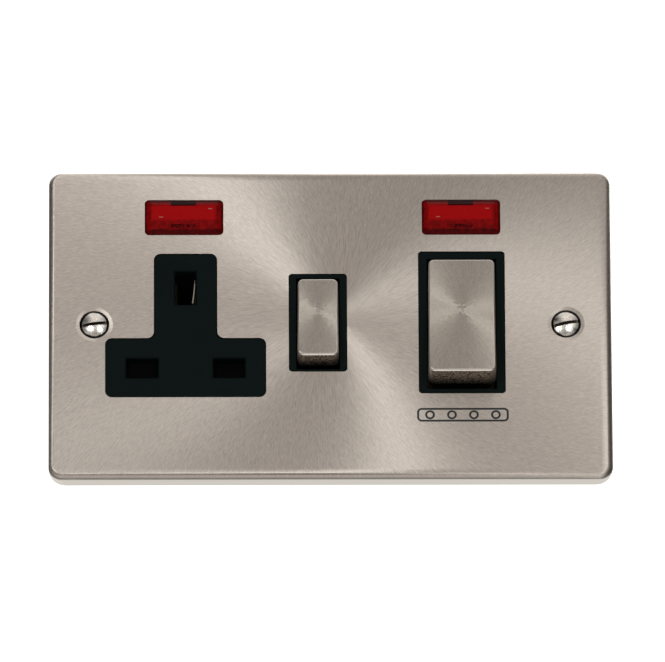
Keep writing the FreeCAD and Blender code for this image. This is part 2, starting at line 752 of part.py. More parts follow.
# The sheet parts that lie on the housing's floor, as left, right, low and high sides
LINE_SUPPLY = [
    ("small_x - 2", "small_x + 2", "-21", "small_pivot_z + 0.8"),
    ("small_x - 2", "line_x + 3", "-21", "-18.6"),
    ("line_x - 3", "line_x + 3", "-block_high", "large_pivot_z + 0.8"),
]
NEUTRAL_SUPPLY = [
    ("neutral_x - 3", "neutral_x + 3", "-block_high - 2.7", "large_pivot_z + 0.8"),
    ("left_pin_x - 2", "neutral_x + 3", "-block_high - 2.7", "-block_high - 0.7"),
    ("left_pin_x - 2", "left_pin_x + 2", "-block_high - 2.7", "block_high"),
]
LINE_LOAD = [("line_x - 3", "line_x + 3", "large_pivot_z + contact_z - 2", "block_high")]
NEUTRAL_LOAD = [("neutral_x - 3", "neutral_x + 3", "large_pivot_z + contact_z - 2", "block_high")]
SOCKET_FEED = [
    ("right_pin_x - 2", "right_pin_x + 2", "pins_z - 2", "block_high"),
    ("right_pin_x - 2", "small_x + 2", "small_pivot_z + contact_z - 1.9", "small_pivot_z + contact_z + 1.9"),
]
STRIP_SIDES = LINE_SUPPLY + NEUTRAL_SUPPLY + LINE_LOAD + NEUTRAL_LOAD + SOCKET_FEED

# Shallow pockets that core out the rear of the housing
CORES = [
    ("2.5 - base_half_x", "left_pin_x + 4.8", "-block_high + 1", "4"),
    ("right_pin_x - 5", "small_x - 4.6", "3 - block_low", "4"),
    ("right_pin_x - 4", "small_x - 4.6", "15.5", "block_low"),
    ("earth_block_x + block_half + 1.6", "line_x - block_half - 1.6", "block_low", "block_high"),
    ("earth_block_x + block_half + 1.6", "line_x - block_half - 1.6", "-block_high", "-block_low"),
    ("earth_block_x + 2", "neutral_x + 4", "3", "block_low - 4"),
    ("earth_block_x + 2", "neutral_x + 4", "4 - block_low", "-3"),
]


def floor_strip(sides):
    """A stamped sheet part lying on the housing's floor."""
    return [box(left, right, "strip_front", "strip_back", low, high) for left, right, low, high in sides]


def fulcrum(x, z):
    """A post with a round nose that a contact bar rocks on."""
    post = box(x + " - 1.8", x + " + 1.8", "bar_y", "strip_front", z + " - nose_radius", z + " + nose_radius")
    return [post, rod("x", x + " - 1.8", "bar_y", z, "nose_radius", "3.6")]


def button(x, z):
    """A fixed contact standing on its strip."""
    return [rod("y", x, "strip_front - 0.8", z, "1.5", "0.9")]


def make_supply_strip(sides, posts):
    solids = floor_strip(sides)
    for x, z in posts:
        solids += fulcrum(x, z)
    return joined(*solids)


def make_load_strip(sides, x, z):
    return joined(*floor_strip(sides), *button(x, z + " + contact_z"))


def make_earth_strap():
    """The bare strap across the rear, with a flap against each earth terminal."""
    solids = [
        box("socket_x - 3.5", "earth_block_x - block_half", "base_back", "strap_back", "earth_z - 2.8", "earth_z + 2.8"),
        box("earth_block_x - block_half - 4", "earth_block_x - block_half", "base_back", "strap_back",
            "-block_high", "block_high"),
        box("socket_x - 2.5", "socket_x + 2.5", "base_back", "strap_back", "earth_z", "block_high + 1"),
    ]
    for row in ("supply", "load"):
        solids.append(box("earth_block_x - block_half - strip", "earth_block_x - block_half",
                          "strip_back + 0.3", "strap_back", *row_sides(row, "block_low", "block_high")))
    return joined(*solids)


def make_plate_earth_tail():
    """The tail from the strap round the housing's side to one of the plate's studs."""
    low, high = "plate_stud_z - 3", "plate_stud_z + 2"
    outer = "-base_half_x - 0.6"
    eyelet = box("-plate_stud_x - 3.2", "-base_half_x", "flange_back", "flange_back + 0.6", low, high)
    leg = box(outer, "-base_half_x", "flange_back", "strap_back + 0.6", low, high)
    rear = box(outer, "socket_x + 2.5", "strap_back", "strap_back + 0.6", low, high)
    hole = rod("y", "-plate_stud_x", "flange_back - 1", "plate_stud_z", "plate_stud_radius + 0.2", "3")
    return cut(joined(eyelet, leg, rear), hole)


# Terminals

def make_block(x, row):
    """A brass terminal with its cable bore and its clamp screw's hole."""
    low, high = row_sides(row, "block_low", "block_high")
    body = box(x + " - block_half", x + " + block_half", "strip_back", "block_back", low, high)
    middle = row_sides(row, "(block_low + block_high) / 2", "0")[0 if row == "load" else 1]
    bore = rod("z", x, "bore_y", low + " - 1", "bore_radius", "block_high - block_low + 2")
    hole = rod("y", x, "bore_y", middle, "clamp_radius + running", "block_depth")
    return cut(body, bore, hole)


def make_terminal_screws():
    """Slotted clamp screws, each backed off until its bore is clear."""
    screws = []
    for x, row, kind in BLOCKS:
        middle = row_sides(row, "(block_low + block_high) / 2", "0")[0 if row == "load" else 1]
        start = "bore_y + bore_radius + 0.15"
        shank = rod("y", x, start, middle, "clamp_radius", "block_back - (%s) + 1.2" % start)
        head = rod("y", x, "block_back + 1", middle, "clamp_radius * 1.6", "2")
        slot = box(x + " - 4", x + " + 4", "block_back + 2", "block_back + 4", middle + " - 0.5", middle + " + 0.5")
        screws.append(cut(joined(shank, head), slot))
    return grouped(*screws)


def make_assembly_screws():
    """Pan head screws that hold the rear housing to the front moulding."""
    screws = []
    for x in ("inner_screw_x", "screw_x"):
        for z in ("-screw_z", "screw_z"):
            shank = rod("y", x, "sheet_back + 1", z, "1.5", "base_back - 2.4 - sheet_back")
            head = rod("y", x, "base_back - 2.4", z, "2.9", "1.9")
            slot = box(x + " - 3", x + " + 3", "base_back - 1.3", "base_back", z + " - 0.4", z + " + 0.4")
            cross = box(x + " - 0.4", x + " + 0.4", "base_back - 1.3", "base_back", z + " - 1.8", z + " + 1.8")
            screws.append(cut(joined(shank, head), slot, cross))
    return grouped(*screws)


# The socket

def make_pin_contact(x):
    """A folded clip that grips a flat pin above and below."""
    def at(offset):
        return "pins_z + (%s)" % offset

    lip, flat, back = "leaf_front", "leaf_front + 2", "strip_front"
    outer, inner = "leaf_half", "leaf_half - strip"
    corners = [
        (lip, at(outer + " + 0.95")), (flat, at(outer)), (back, at(outer)),
        (back, at("-(%s)" % outer)), (flat, at("-(%s)" % outer)), (lip, at("-(%s) - 0.95" % outer)),
        (lip, at("-(%s) - 0.95" % inner)), (flat, at("-(%s)" % inner)), (back + " - strip", at("-(%s)" % inner)),
        (back + " - strip", at(inner)), (flat, at(inner)), (lip, at(inner + " + 0.95")),
    ]
    return side_profile(corners, x + " - 3", x + " + 3")


def make_earth_contact():
    """A folded clip that grips the earth pin from both sides."""
    def at(offset):
        return "socket_x + (%s)" % offset

    lip, flat, back = "leaf_front", "leaf_front + 2", "base_back"
    outer, inner = "leaf_half", "leaf_half - strip"
    corners = [
        (at("-(%s) - 0.95" % outer), lip), (at("-(%s) - 0.95" % inner), lip), (at("-(%s)" % inner), flat),
        (at("-(%s)" % inner), back + " - strip"), (at(inner), back + " - strip"), (at(inner), flat),
        (at(inner + " + 0.95"), lip), (at(outer + " + 0.95"), lip), (at(outer), flat),
        (at(outer), back), (at("-(%s)" % outer), back), (at("-(%s)" % outer), flat),
    ]
    return top_profile(corners, "earth_z - 4.2", "earth_z + 4.2")


def make_shutter():
    """The blade that covers both lower apertures, with the ramp the earth pin pushes."""
    blade = box("socket_x - shutter_half", "socket_x + shutter_half", "shutter_front", "shutter_back",
                "pins_z - 3.1", "pins_z + 6.9")
    stem_low = "pins_z + 6.4"
    ramp = side_profile([
        ("shutter_front", stem_low), ("shutter_front", "earth_z - 5.2"), ("shutter_back + 1.7", "earth_z - 4.5"),
        ("leaf_front + 7.8", "earth_z + 1.7"), ("leaf_front + 7.8", stem_low),
    ], "socket_x - 1.4", "socket_x + 1.4")
    return joined(blade, ramp)


def make_shutter_spring():
    """The coil under the shutter's stem, as a plain sleeve of the coil's size."""
    low, high = "pins_z - 5.3", "pins_z + 6.3"
    sleeve = rod("z", "socket_x", "leaf_front + 3.6", low, "2.2", "%s - (%s)" % (high, low))
    hollow = rod("z", "socket_x", "leaf_front + 3.6", low + " - 1", "1.6", "%s - (%s) + 2" % (high, low))
    return cut(sleeve, hollow)


# The rockers, each built about its own hinge line and then turned to its off position

def tilted(thing, x, size, turn):
    return place(thing, x, "pivot_y", size + "_pivot_z", (1, 0, 0), turn)


def drafted_block(half_x, half_z, rear, front, corner, face_round):
    """A block whose sides lean in toward a softened front face."""
    body = new_body("drafted_block")
    outline = sketch_on(body, "xz", "-(%s)" % rear)
    draw_rounded(outline, "-(%s)" % half_x, half_x, "-(%s)" % half_z, half_z, corner)
    block = pad(body, outline, "(%s) - (%s)" % (rear, front), taper="-cap_draft")
    depth = value(front)
    if face_round:
        soften(body, block, edges_where(block, lambda p: abs(p.y - depth) < SAME), face_round)
    return body


def make_cap(x, size):
    """The metal cap: a drafted shell with a rounded face, cut away over the hinge pins."""
    rise, length, width = size + "_cap_rise", size + "_cap_length", size + "_cap_width"
    grown = "(%s + cap_skirt) * tan(cap_draft)" % rise
    half_x, half_z = "%s / 2 + %s" % (width, grown), "%s / 2 + %s" % (length, grown)
    outer = drafted_block(half_x, half_z, "cap_skirt", "-" + rise, "cap_round", "cap_edge")
    inside = (half_x + " - cap_skin", half_z + " - cap_skin")
    inner = drafted_block(*inside, "cap_skirt", "cap_skin - " + rise, "cap_round - 0.4", None)
    reach = "pivot_radius + 0.4"
    notch = box("-(%s) - 1" % half_x, "%s + 1" % half_x, "-(%s)" % reach, "cap_skirt + 1", "-(%s)" % reach, reach)
    return tilted(cut(outer, inner, notch), x, size, "-rocker_tilt")


def make_carrier(x, size, offsets):
    """The black rocker body inside the cap, with its hinge pins and plunger guides."""
    half_x, half_z = "(%s_cap_width / 2 - 1.1)" % size, "(%s_cap_length / 2 - 1.1)" % size
    front = "cap_skin - %s_cap_rise" % size
    pin_half = "(%s + well_wall - 0.4)" % well_half_x(size)
    adds = [
        box("-" + half_x, half_x, front, "1.2", "-" + half_z, half_z),
        rod("x", "-" + pin_half, "0", "0", "pivot_radius", "2 * " + pin_half),
    ]
    cuts = []
    for offset in offsets:
        adds.append(rod("y", offset, "0", "0", "guide_radius", "7"))
        cuts.append(rod("y", offset, "-1", "0", "plunger_radius + running", "9"))
    return tilted(cut(joined(*adds), *cuts), x, size, "-rocker_tilt")


def make_plunger(x, size, offset):
    """The sprung plunger that rides on its contact bar."""
    tip = "plunger_reach - plunger_radius"
    stem = rod("y", offset, "plunger_back", "0", "plunger_radius", tip + " - plunger_back")
    whole = joined(stem, ball(offset, tip, "0", "plunger_radius"))
    return tilted(whole, x, size, "-rocker_tilt")


def make_plunger_spring(x, size, offset):
    """The coil behind the plunger, as a plain sleeve of the coil's size."""
    sleeve = rod("y", offset, "-0.95", "0", "plunger_radius - 0.25", "plunger_back + 0.9")
    hollow = rod("y", offset, "-2", "0", "plunger_radius - 0.6", "plunger_back + 4")
    return tilted(cut(sleeve, hollow), x, size, "-rocker_tilt")


def make_bar(x, size, offset):
    """The contact bar that rocks on its fulcrum, at its off tilt."""
    bar = box("%s - 2" % offset, "%s + 2" % offset, "-bar_thick", "0", "-bar_half", "bar_half")
    silver = rod("y", offset, "-0.1", "contact_z", "1.3", "0.7")
    groove = rod("x", "%s - 3" % offset, "0", "0", "nose_radius + running", "6")
    return place(cut(joined(bar, silver), groove), x, "bar_y", size + "_pivot_z", (1, 0, 0), "bar_tilt")


# The indicator lamps

def make_lens(x):
    """A red lens with a bevelled front, a rear flange and two clip tabs."""
    low, high = "lens_z - lens_height / 2", "lens_z + lens_height / 2"
    left, right = x + " - lens_width / 2", x + " + lens_width / 2"
    flange = lamp_box(x, "0.9", "sheet_back", "sheet_back + 0.75", "lens_z - 5.7", "lens_z + 5.7")
    neck = rounded_block(left + " + 0.1", right + " - 0.1", low + " + 0.1", high + " - 0.1",
                         "face", "sheet_back + 0.5", "lens_round - 0.1")
    front = bevelled_front(left, right, low, high)
    room = lamp_box(x, "-1.2", "face + 0.4", "sheet_back + 2", "lens_z - 3.6", "lens_z + 3.2")
    tabs = [
        box(x + " - 2.8", x + " + 2.8", "sheet_back + 0.5", "sheet_back + 4", "lens_z + 2.5", "lens_z + 3.2"),
        box(x + " - 2.8", x + " + 2.8", "sheet_back + 0.5", "sheet_back + 4", "lens_z - 4.4", "lens_z - 3.5"),
    ]
    return joined(cut(joined(flange, neck, front), room), *tabs)


def bevelled_front(left, right, low, high):
    """The lens's front, from its edge in the plate up to the smaller flat."""
    sections = []
    for depth, inset in (("face", "0.1"), ("face - lens_rise", "lens_bevel")):
        outline = doc.addObject("Sketcher::SketchObject", "outline")
        sides = ("%s + %s" % (left, inset), "%s - %s" % (right, inset), "%s + %s" % (low, inset), "%s - %s" % (high, inset))
        draw_rounded(outline, *sides, "lens_round - 0.1" if inset == "0.1" else "lens_round / 2")
        place(outline, "0", depth, "0", (1, 0, 0), "90")
        sections.append(outline)
    made = doc.addObject("Part::Loft", "bevel")
    made.Sections = sections
    made.Solid = True
    made.Ruled = True
    return made


def make_lamp(x):
    """A neon tube with its sealed nib."""
    tube = rod("x", x + " - lamp_half", "lamp_back - 4.5", "lens_z", "2.4", "2 * lamp_half - 1")
    nib = rod("x", x + " + lamp_half - 1", "lamp_back - 4.5", "lens_z", "2.4", "1", "0.8")
    return joined(tube, nib)


def make_leads():
    """The bare lamp wires, down to the strips; every second one ends at its resistor."""
    wires = []
    depth = "lamp_back - 4.5"
    for middle, x, side in LEADS:
        end = "%s %s lamp_half" % (middle, side)
        sides = (x, end) if side == "-" else (end, x)
        across = rod("x", sides[0], depth, "lens_z", "0.3", "(%s) - (%s)" % (sides[1], sides[0]))
        corner = ball(x, depth, "lens_z", "0.3")
        if side == "-":
            down = [rod("y", x, depth, "lens_z", "0.3", "strip_front - (%s)" % depth)]
            wires.append(joined(across, corner, *down))
        else:
            near = rod("y", x, depth, "lens_z", "0.3", "lamp_back + 0.6 - (%s)" % depth)
            wires.append(joined(across, corner, near))
            wires.append(rod("y", x, "lamp_back + 7.1", "lens_z", "0.3", "strip_front - (lamp_back + 7.1)"))
    return grouped(*wires)


def make_resistors():
    """One resistor in series with each lamp."""
    bodies = []
    for middle, x, side in LEADS:
        if side == "+":
            bodies.append(rod("y", x, "lamp_back + 0.6", "lens_z", "1.2", "6.5"))
    return grouped(*bodies)


# Every sub-part

node(make_faceplate(), "faceplate")
node(make_plate_nuts(), "plate_nuts")
node(make_fixing_screws(), "fixing_screws")
node(make_front_moulding(), "front_moulding")
node(make_socket_face(), "socket_face")
node(make_base_moulding(), "base_moulding")
node(make_assembly_screws(), "assembly_screws")
node(make_cap("small_x", "small"), "socket_rocker_cap")
node(make_carrier("small_x", "small", ["0"]), "socket_rocker_carrier")
node(make_plunger("small_x", "small", "0"), "socket_plunger")
node(make_plunger_spring("small_x", "small", "0"), "socket_plunger_spring")
node(make_bar("small_x", "small", "0"), "socket_bar")
node(make_cap("large_x", "large"), "cooker_rocker_cap")
node(make_carrier("large_x", "large", ["-pole_offset", "pole_offset"]), "cooker_rocker_carrier")
for pole, offset in (("line", "-pole_offset"), ("neutral", "pole_offset")):
    node(make_plunger("large_x", "large", offset), pole + "_plunger")
    node(make_plunger_spring("large_x", "large", offset), pole + "_plunger_spring")
    node(make_bar("large_x", "large", offset), pole + "_bar")
small_post = ("small_x", "small_pivot_z")
line_post = ("line_x", "large_pivot_z")
neutral_post = ("neutral_x", "large_pivot_z")
node(make_supply_strip(LINE_SUPPLY, [small_post, line_post]), "line_supply_strip")
node(make_supply_strip(NEUTRAL_SUPPLY, [neutral_post]), "neutral_supply_strip")
node(make_load_strip(LINE_LOAD, *line_post), "line_load_strip")
node(make_load_strip(NEUTRAL_LOAD, *neutral_post), "neutral_load_strip")
node(make_load_strip(SOCKET_FEED, *small_post), "socket_feed_strip")
node(make_pin_contact("right_pin_x"), "line_contact")
node(make_pin_contact("left_pin_x"), "neutral_contact")
node(make_earth_contact(), "earth_contact")
node(make_earth_strap(), "earth_strap")
node(make_plate_earth_tail(), "plate_earth_tail")
node(make_shutter(), "socket_shutter")
node(make_shutter_spring(), "shutter_spring")
for x, row, kind in BLOCKS:
    node(make_block(x, row), "%s_%s_terminal" % (row, kind))
node(make_terminal_screws(), "terminal_screws")
node(make_lens("lens_left_x"), "socket_lens")
node(make_lens("lens_right_x"), "cooker_lens")
node(make_lamp("lens_left_x"), "socket_lamp")
node(make_lamp("lens_right_x"), "cooker_lamp")
node(make_leads(), "lamp_leads")
node(make_resistors(), "lamp_resistors")

doc.recompute()
for thing in doc.Objects:
    if "Invalid" in thing.State or "Error" in thing.State:
        raise RuntimeError("%s (%s) did not build" % (thing.Label, thing.Name))
for thing in NODES:
    if thing.Shape.isNull() or not thing.Shape.isValid():
        raise RuntimeError("%s has no valid shape" % thing.Label)
for thing in NODES:
    thing.Shape.exportStep("parts/%s.step" % thing.Label)
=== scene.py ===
import bpy
import json
import math
import numpy as np
from mathutils import Matrix, Vector

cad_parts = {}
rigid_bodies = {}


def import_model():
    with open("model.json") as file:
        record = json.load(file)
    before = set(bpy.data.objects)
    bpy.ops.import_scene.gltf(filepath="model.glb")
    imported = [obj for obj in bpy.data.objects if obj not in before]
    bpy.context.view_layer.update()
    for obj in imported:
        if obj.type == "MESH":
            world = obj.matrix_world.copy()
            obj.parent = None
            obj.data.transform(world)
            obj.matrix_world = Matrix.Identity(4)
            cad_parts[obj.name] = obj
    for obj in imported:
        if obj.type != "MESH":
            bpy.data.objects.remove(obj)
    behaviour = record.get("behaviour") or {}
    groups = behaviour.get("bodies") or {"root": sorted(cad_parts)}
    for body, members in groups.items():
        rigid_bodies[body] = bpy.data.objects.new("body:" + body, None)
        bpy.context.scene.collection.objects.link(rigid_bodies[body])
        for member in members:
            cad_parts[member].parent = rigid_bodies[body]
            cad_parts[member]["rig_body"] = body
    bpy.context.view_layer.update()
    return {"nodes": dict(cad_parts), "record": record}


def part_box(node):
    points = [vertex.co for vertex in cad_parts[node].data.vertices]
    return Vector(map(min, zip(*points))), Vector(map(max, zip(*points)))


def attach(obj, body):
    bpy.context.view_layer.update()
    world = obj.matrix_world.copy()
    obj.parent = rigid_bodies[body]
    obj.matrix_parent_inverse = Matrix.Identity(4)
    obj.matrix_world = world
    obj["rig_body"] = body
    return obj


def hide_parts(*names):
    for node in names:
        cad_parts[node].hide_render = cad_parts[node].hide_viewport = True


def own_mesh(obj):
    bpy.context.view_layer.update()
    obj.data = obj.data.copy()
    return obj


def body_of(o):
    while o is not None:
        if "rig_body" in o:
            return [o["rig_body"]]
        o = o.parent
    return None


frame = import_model()

# Places worked out from the model, in metres

def middle(node):
    """The middle of a node's box."""
    low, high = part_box(node)
    return (low + high) / 2


PLATE_LOW, PLATE_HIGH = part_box("faceplate")
LARGE_CAP = middle("cooker_rocker_cap")
EARTH_CONTACT = middle("earth_contact")
SCREWS_LOW, SCREWS_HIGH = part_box("fixing_screws")
HEAD_RADIUS = 0.00345
LEFT_SCREW = Vector((SCREWS_LOW.x + HEAD_RADIUS, 0, (SCREWS_LOW.z + SCREWS_HIGH.z) / 2))
RIGHT_SCREW = Vector((SCREWS_HIGH.x - HEAD_RADIUS, 0, LEFT_SCREW.z))


# Node helpers

class Shading:
    """The nodes of a material or of the world, with a short method for each kind of node."""

    def __init__(self, tree):
        self.nodes = tree.nodes
        self.link = tree.links.new

    def feed(self, given, socket):
        """Set an input to a number, or link another socket to it."""
        if isinstance(given, (int, float)):
            socket.default_value = given
        else:
            self.link(given, socket)

    def maths(self, kind, *given):
        """One math node on sockets and numbers."""
        made = self.nodes.new("ShaderNodeMath")
        made.operation = kind
        for number, value in enumerate(given):
            self.feed(value, made.inputs[number])
        return made.outputs[0]

    def plus(self, first, second):
        """The sum of two values."""
        return self.maths("ADD", first, second)

    def minus(self, first, second):
        """The first value less the second."""
        return self.maths("SUBTRACT", first, second)

    def times(self, first, second):
        """The product of two values."""
        return self.maths("MULTIPLY", first, second)

    def length(self, across, up):
        """How long a step is that goes so far across and so far up."""
        return self.maths("SQRT", self.plus(self.times(across, across), self.times(up, up)))

    def distance(self, x, z, place):
        """How far a point is from a place in the plate's plane."""
        return self.length(self.minus(x, place.x), self.minus(z, place.z))

    def point(self):
        """The place on the surface, in the object's own frame."""
        return self.nodes.new("ShaderNodeTexCoord").outputs["Object"]

    def facing(self):
        """The direction that the surface faces, as three parts."""
        return self.split(self.nodes.new("ShaderNodeTexCoord").outputs["Normal"])

    def split(self, vector):
        """The three parts of a vector."""
        made = self.nodes.new("ShaderNodeSeparateXYZ")
        self.link(vector, made.inputs[0])
        return made.outputs

    def join(self, *parts):
        """A vector from three parts."""
        made = self.nodes.new("ShaderNodeCombineXYZ")
        for number, part in enumerate(parts):
            self.feed(part, made.inputs[number])
        return made.outputs[0]

    def noise(self, vector, scale, detail=2.0, rough=0.5):
        """A cloudy pattern of values about 0.5."""
        made = self.nodes.new("ShaderNodeTexNoise")
        made.inputs["Scale"].default_value = scale
        made.inputs["Detail"].default_value = detail
        made.inputs["Roughness"].default_value = rough
        self.link(vector, made.inputs["Vector"])
        return made.outputs["Fac"]

    def ramp(self, factor, low, high, start=0.0, end=1.0):
        """A colour between two colours, from one factor value to another."""
        made = self.nodes.new("ShaderNodeValToRGB")
        made.color_ramp.elements[0].position = start
        made.color_ramp.elements[1].position = end
        made.color_ramp.elements[0].color = (*low, 1)
        made.color_ramp.elements[1].color = (*high, 1)
        self.link(factor, made.inputs[0])
        return made.outputs[0]

    def spread(self, factor, low, high):
        """A factor from 0 to 1 mapped to a range."""
        made = self.nodes.new("ShaderNodeMapRange")
        made.inputs["To Min"].default_value = low
        made.inputs["To Max"].default_value = high
        self.link(factor, made.inputs["Value"])
        return made.outputs[0]

    def eased(self, value, start, end):
        """0 at the start, 1 at the end, with an easy curve between."""
        made = self.nodes.new("ShaderNodeMapRange")
        made.interpolation_type = "SMOOTHSTEP"
        made.inputs["From Min"].default_value = start
        made.inputs["From Max"].default_value = end
        self.link(value, made.inputs["Value"])
        return made.outputs[0]

    def within(self, value, low, high, soft):
        """1 where the value lies between two limits, with soft ends."""
        rise = self.eased(value, low - soft, low + soft)
        fall = self.eased(value, high + soft, high - soft)
        return self.times(rise, fall)

    def patch(self, across, up, wide, high, soft_across, soft_up):
        """1 inside a rectangle given by its two pairs of limits, with soft sides."""
        return self.times(self.within(across, *wide, soft_across), self.within(up, *high, soft_up))

    def blended(self, factor, first, second):
        """One colour over another by a factor; each is a socket or three numbers."""
        made = self.nodes.new("ShaderNodeMix")
        made.data_type = "RGBA"
        self.link(factor, made.inputs["Factor"])
        for number, given in ((6, first), (7, second)):
            if isinstance(given, tuple):
                made.inputs[number].default_value = (*given, 1)
            else:
                self.link(given, made.inputs[number])
        return made.outputs[2]

    def bump(self, height, strength, depth, under=None):
        """A normal bent by a pattern of heights, over another normal where one is given."""
        made = self.nodes.new("ShaderNodeBump")
        made.inputs["Strength"].default_value = strength
        made.inputs["Distance"].default_value = depth
        self.link(height, made.inputs["Height"])
        if under is not None:
            self.link(under, made.inputs["Normal"])
        return made.outputs[0]


class Surface(Shading):
    """A new material, with its nodes and the inputs of its shader."""

    def __init__(self, name):
        self.material = bpy.data.materials.new(name)
        self.material.use_nodes = True
        super().__init__(self.material.node_tree)
        self.inputs = self.nodes["Principled BSDF"].inputs

    def give(self, name, value):
        """Set an input of the shader to a number, or link a socket to it."""
        self.feed(value, self.inputs[name])


# Brushed metal

# The side walls are plain, in a more neutral colour that is painted sheen
WALL_SHEEN_COLOUR = (0.60, 0.572, 0.515)
FORWARD_FROM, FORWARD_TO = 0.25, 0.85
LEAST_RADIUS = 0.0002
NEAR_STREAKS, FAR_STREAKS, FAR_FROM, FAR_TO = 110.0, 220.0, 0.022, 0.032
KEPT_NEAR, KEPT_FAR, FAINT_FROM, FAINT_TO = 1.05, 0.72, 0.030, 0.060
GRAIN_SCALE, WANDER_SCALE = 5200.0, 1400.0
BRUSH_STRENGTH, BRUSH_DEPTH, ROUGH_SWING = 0.12, 0.00005, 0.07


def forward_part(surface):
    """1 where the surface faces forward, 0 on the side walls, and eased between."""
    return surface.eased(surface.times(surface.facing()[1], -1.0), FORWARD_FROM, FORWARD_TO)


def from_centre(surface, across, up):
    """The direction away from the centre of the brushing, as two parts, and the distance."""
    radius = surface.plus(surface.length(across, up), LEAST_RADIUS)
    return surface.maths("DIVIDE", across, radius), surface.maths("DIVIDE", up, radius), radius


def turned_pair(surface, x, z, angle, sense):
    """A direction in the plate's plane turned by an angle, one way or the other."""
    cosine = surface.maths("COSINE", angle)
    sine = surface.maths("SINE", angle)
    first, second = (surface.minus, surface.plus) if sense > 0 else (surface.plus, surface.minus)
    new_x = first(surface.times(x, cosine), surface.times(z, sine))
    new_z = second(surface.times(z, cosine), surface.times(x, sine))
    return new_x, new_z


def brush_marks(surface, out_x, out_z, radius, turn, share):
    """Streaks along the brush lines, closer and fainter far from the centre, mixed with a fine grain."""
    even_x, even_z = turned_pair(surface, out_x, out_z, turn, -1)
    polar = surface.join(even_x, even_z, surface.times(radius, 3.0))
    outward = surface.eased(radius, FAR_FROM, FAR_TO)
    inner = surface.times(surface.noise(polar, NEAR_STREAKS, 3.0, 0.8), surface.minus(1.0, outward))
    outer = surface.times(surface.noise(polar, FAR_STREAKS, 3.0, 0.8), outward)
    streaks = surface.plus(inner, outer)
    grain = surface.noise(surface.point(), GRAIN_SCALE, 2.0, 0.6)
    mixed = surface.plus(surface.times(streaks, share), surface.times(grain, 1.0 - share))
    kept = surface.spread(surface.eased(radius, FAINT_FROM, FAINT_TO), KEPT_NEAR, KEPT_FAR)
    shown = surface.times(surface.times(forward_part(surface), kept), surface.minus(mixed, 0.5))
    return surface.plus(shown, 0.5)


def wandered(surface, value, seed, amount):
    """A coordinate shifted a little by fine noise, so that the brush lines don't all meet in a point."""
    x, _, z = surface.split(surface.point())
    cloud = surface.noise(surface.join(x, seed, z), WANDER_SCALE)
    return surface.plus(value, surface.times(surface.minus(cloud, 0.5), amount))


def brush_direction(surface, across, up, turn, wander):
    """The direction square to the brush lines, in the plate's plane."""
    loose_x, loose_z, _ = from_centre(surface, wandered(surface, across, 5.0, wander),
                                      wandered(surface, up, 11.0, wander))
    line_x, line_z = turned_pair(surface, loose_x, loose_z, turn, 1)
    to_world = surface.nodes.new("ShaderNodeVectorTransform")
    to_world.vector_type = "VECTOR"
    to_world.convert_from = "OBJECT"
    to_world.convert_to = "WORLD"
    surface.link(surface.join(surface.times(line_z, -1.0), 0.0, line_x), to_world.inputs[0])
    return to_world.outputs[0]


def swirled_metal(name, centre, twist, dark, light, rough, directed, wander, share, finish):
    """Satin metal with brush lines that leave a centre and turn as they go, so light lies in fans.

    The finish is a function that adds what only the plate or only a cap has. It returns the colour,
    the roughness and the normal under the brushing.
    """
    surface = Surface(name)
    x, _, z = surface.split(surface.point())
    across = surface.minus(x, centre.x)
    up = surface.minus(z, centre.z)
    out_x, out_z, radius = from_centre(surface, across, up)
    turn = surface.times(radius, twist)
    marks = brush_marks(surface, out_x, out_z, radius, turn, share)
    colour = surface.ramp(marks, dark, light, 0.37, 0.63)
    roughness = surface.spread(marks, rough - ROUGH_SWING, rough + ROUGH_SWING)
    colour, roughness, under = finish(surface, colour, roughness)
    surface.give("Base Color", colour)
    surface.give("Roughness", roughness)
    surface.give("Normal", surface.bump(marks, BRUSH_STRENGTH, BRUSH_DEPTH, under))
    surface.give("Anisotropic", directed)
    surface.give("Tangent", brush_direction(surface, across, up, turn, wander))
    return surface.material


# The plate's own finish

ROLL_LEFT, ROLL_RIGHT, ROLL_BELOW, ROLL_ABOVE, ROLL_CURVE = 0.0006, 0.0030, 0.0026, 0.0026, 45.0
DISH = -0.25
# Painted shade: a dark ring in the gap round each screw head
SHADE_RING_INNER, SHADE_RING_OUTER, SHADE_RING_SOFT, SHADE_RING_COLOUR = 0.00322, 0.00382, 0.00005, (0.018, 0.015, 0.012)
MARK_PLACE = Vector((LARGE_CAP.x + 0.0001, 0, -0.0252))
MARK_HALF, MARK_HIGH, MARK_CORNER, MARK_LINE = 0.0117, 0.0019, 0.0012, 0.00027
RING_APART, RING_RADIUS = 0.0056, 0.00098
INK_SOFT, INK_COLOUR = 0.00004, (0.010, 0.011, 0.012)


def rolled_edges(surface, x, z):
    """The slight dish of a pressed plate and its fall toward the four edges, as a change of normal."""
    total = surface.times(surface.times(z, z), DISH / ROLL_CURVE)
    for value, edge, wide in ((x, PLATE_LOW.x, ROLL_LEFT), (x, PLATE_HIGH.x, ROLL_RIGHT),
                              (z, PLATE_LOW.z, ROLL_BELOW), (z, PLATE_HIGH.z, ROLL_ABOVE)):
        apart = surface.maths("ABSOLUTE", surface.minus(value, edge))
        over = surface.maths("MAXIMUM", surface.minus(wide, apart), 0.0)
        total = surface.plus(surface.times(over, over), total)
    return surface.bump(surface.times(total, -ROLL_CURVE), 1.0, 1.0)


